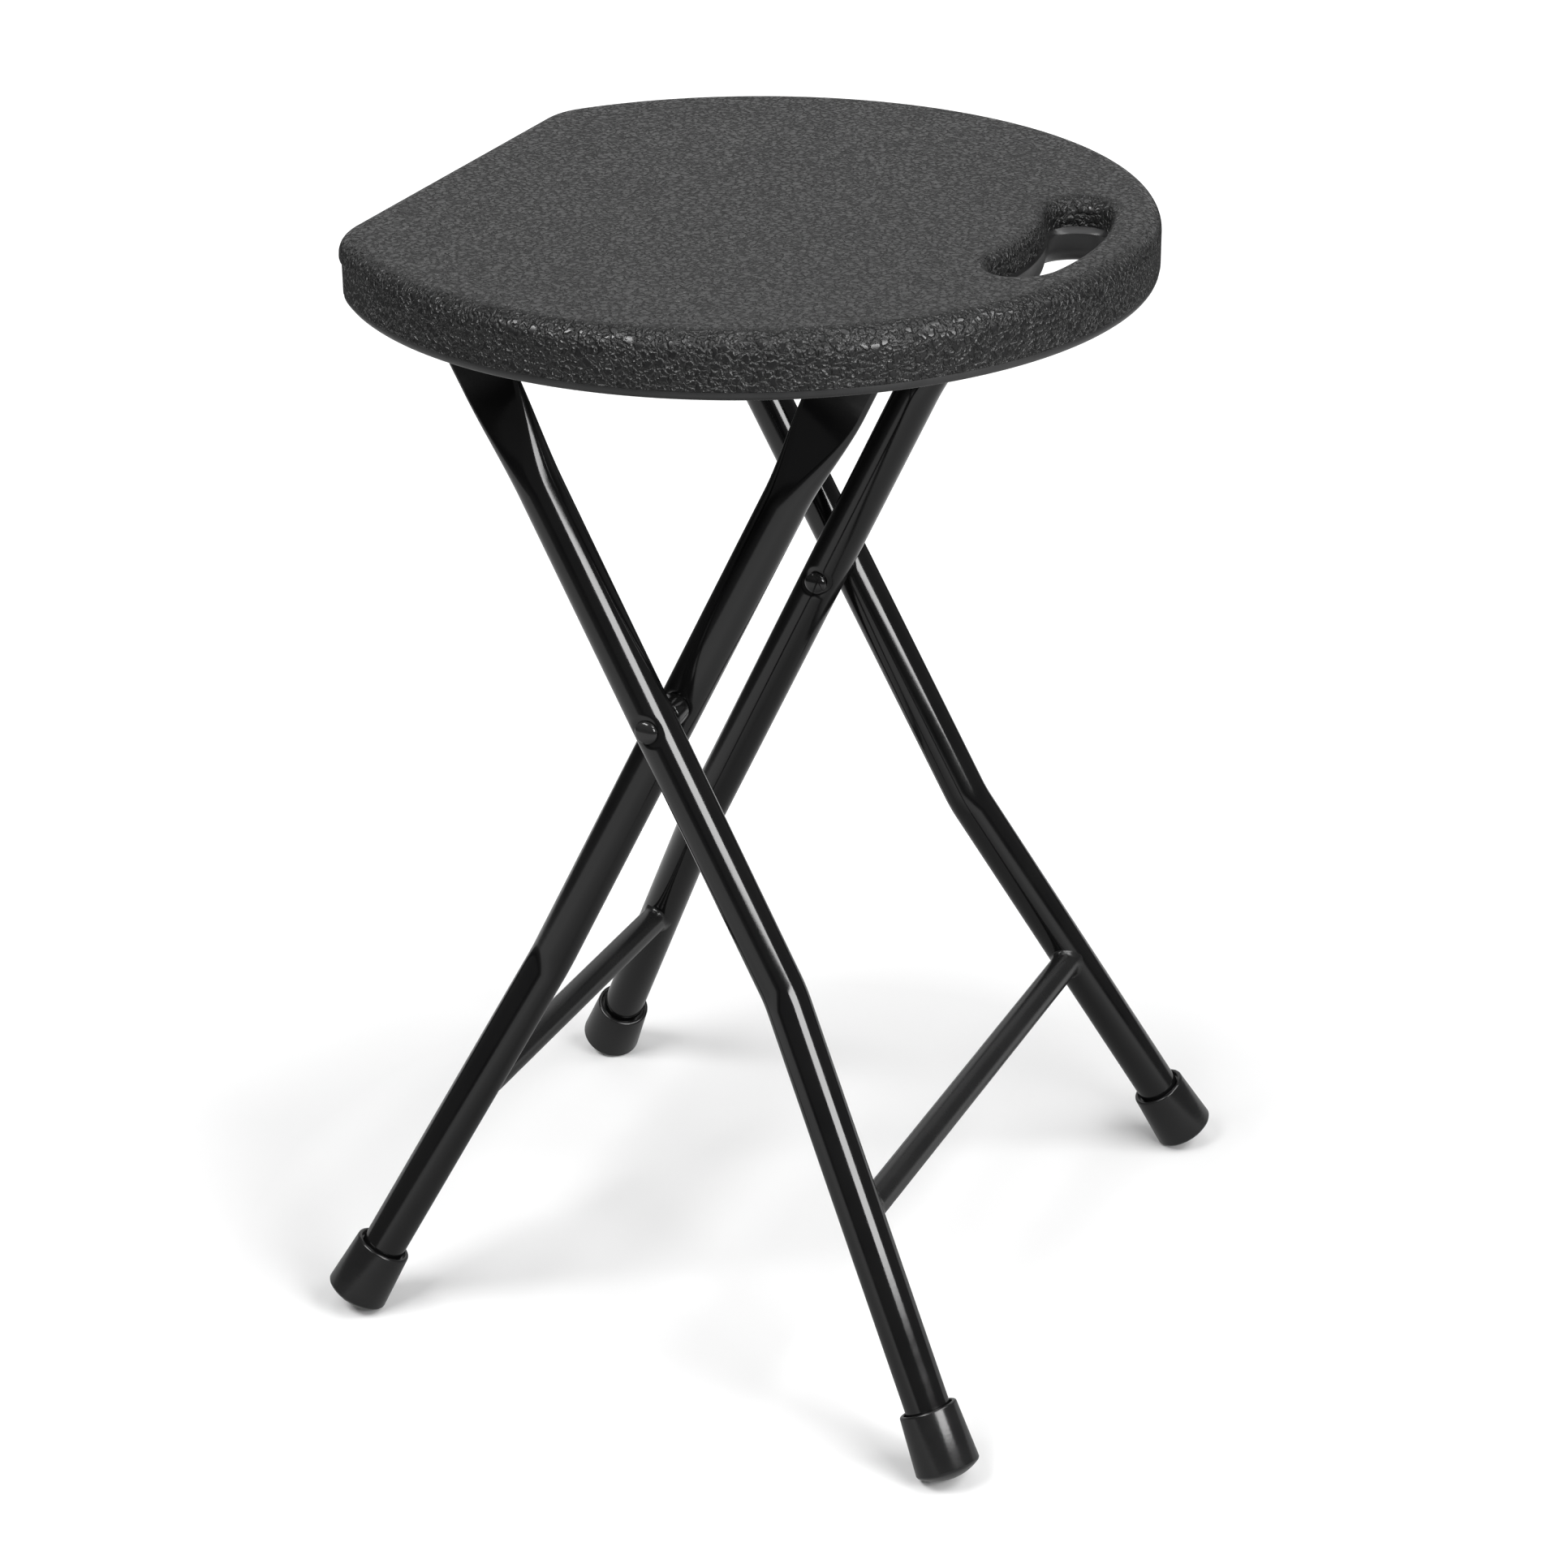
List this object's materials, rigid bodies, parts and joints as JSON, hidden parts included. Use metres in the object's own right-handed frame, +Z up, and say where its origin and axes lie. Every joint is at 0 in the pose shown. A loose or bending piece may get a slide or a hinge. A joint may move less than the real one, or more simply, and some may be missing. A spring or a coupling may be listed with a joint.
{
  "type": "folding camp stool",
  "caption": "Folding camp stool: round hollow plastic seat with a flat edge and a handle slot, on crossed steel tube frames.",
  "frame": {"origin": "on the floor, under the middle of the stool's bounding box", "axes": "+Z up; +X towards the handle slot, the flat edge is at -X; Y runs along the hinge rod, the leg pivots and the rungs"},
  "size_m": [0.3016, 0.318, 0.46],
  "materials": {
    "seat": "black high-density polyethylene with a moulded leather grain on the top and the sides",
    "bracket": "black powder coat on pressed steel",
    "clip": "black nylon",
    "screw": "zinc-plated steel",
    "leg": "gloss black powder coat on steel tube",
    "rod": "zinc-plated steel rod",
    "rod_cap": "black pressed steel cap",
    "rivet": "black steel rivet",
    "spacer": "black nylon",
    "foot": "satin black rubber"
  },
  "bodies": {
    "outer_frame": {"outer_leg_front": "leg", "outer_leg_rear": "leg", "outer_rung": "leg", "hinge_rod": "rod", "hinge_cap_front": "rod_cap", "hinge_cap_rear": "rod_cap", "pivot_rivet_front": "rivet", "pivot_rivet_rear": "rivet", "pivot_spacer_front": "spacer", "pivot_spacer_rear": "spacer", "outer_foot_front": "foot", "outer_foot_rear": "foot"},
    "inner_frame": {"inner_leg_front": "leg", "inner_leg_rear": "leg", "inner_rung": "leg", "rest_rod": "rod", "rest_cap_front": "rod_cap", "rest_cap_rear": "rod_cap", "inner_foot_front": "foot", "inner_foot_rear": "foot"},
    "seat": {"seat_shell": "seat", "hinge_bracket_front": "bracket", "hinge_bracket_rear": "bracket", "rest_clip_front": "clip", "rest_clip_rear": "clip", "bracket_screws": "screw", "clip_screws": "screw"}
  },
  "joints": [
    {"name": "leg_pivot", "type": "hinge", "parent": "outer_frame", "child": "inner_frame", "pos_m": [-0.0069, 0, 0.279], "axis": [0, -1, 0], "range_deg": [0, 46]},
    {"name": "seat_hinge", "type": "hinge", "parent": "outer_frame", "child": "seat", "pos_m": [-0.0816, 0, 0.421], "axis": [0, -1, 0], "range_deg": [0, 115]}
  ],
  "couplings": [
    {"joint": "seat_hinge", "follows": "leg_pivot", "ratio": 2.5}
  ]
}
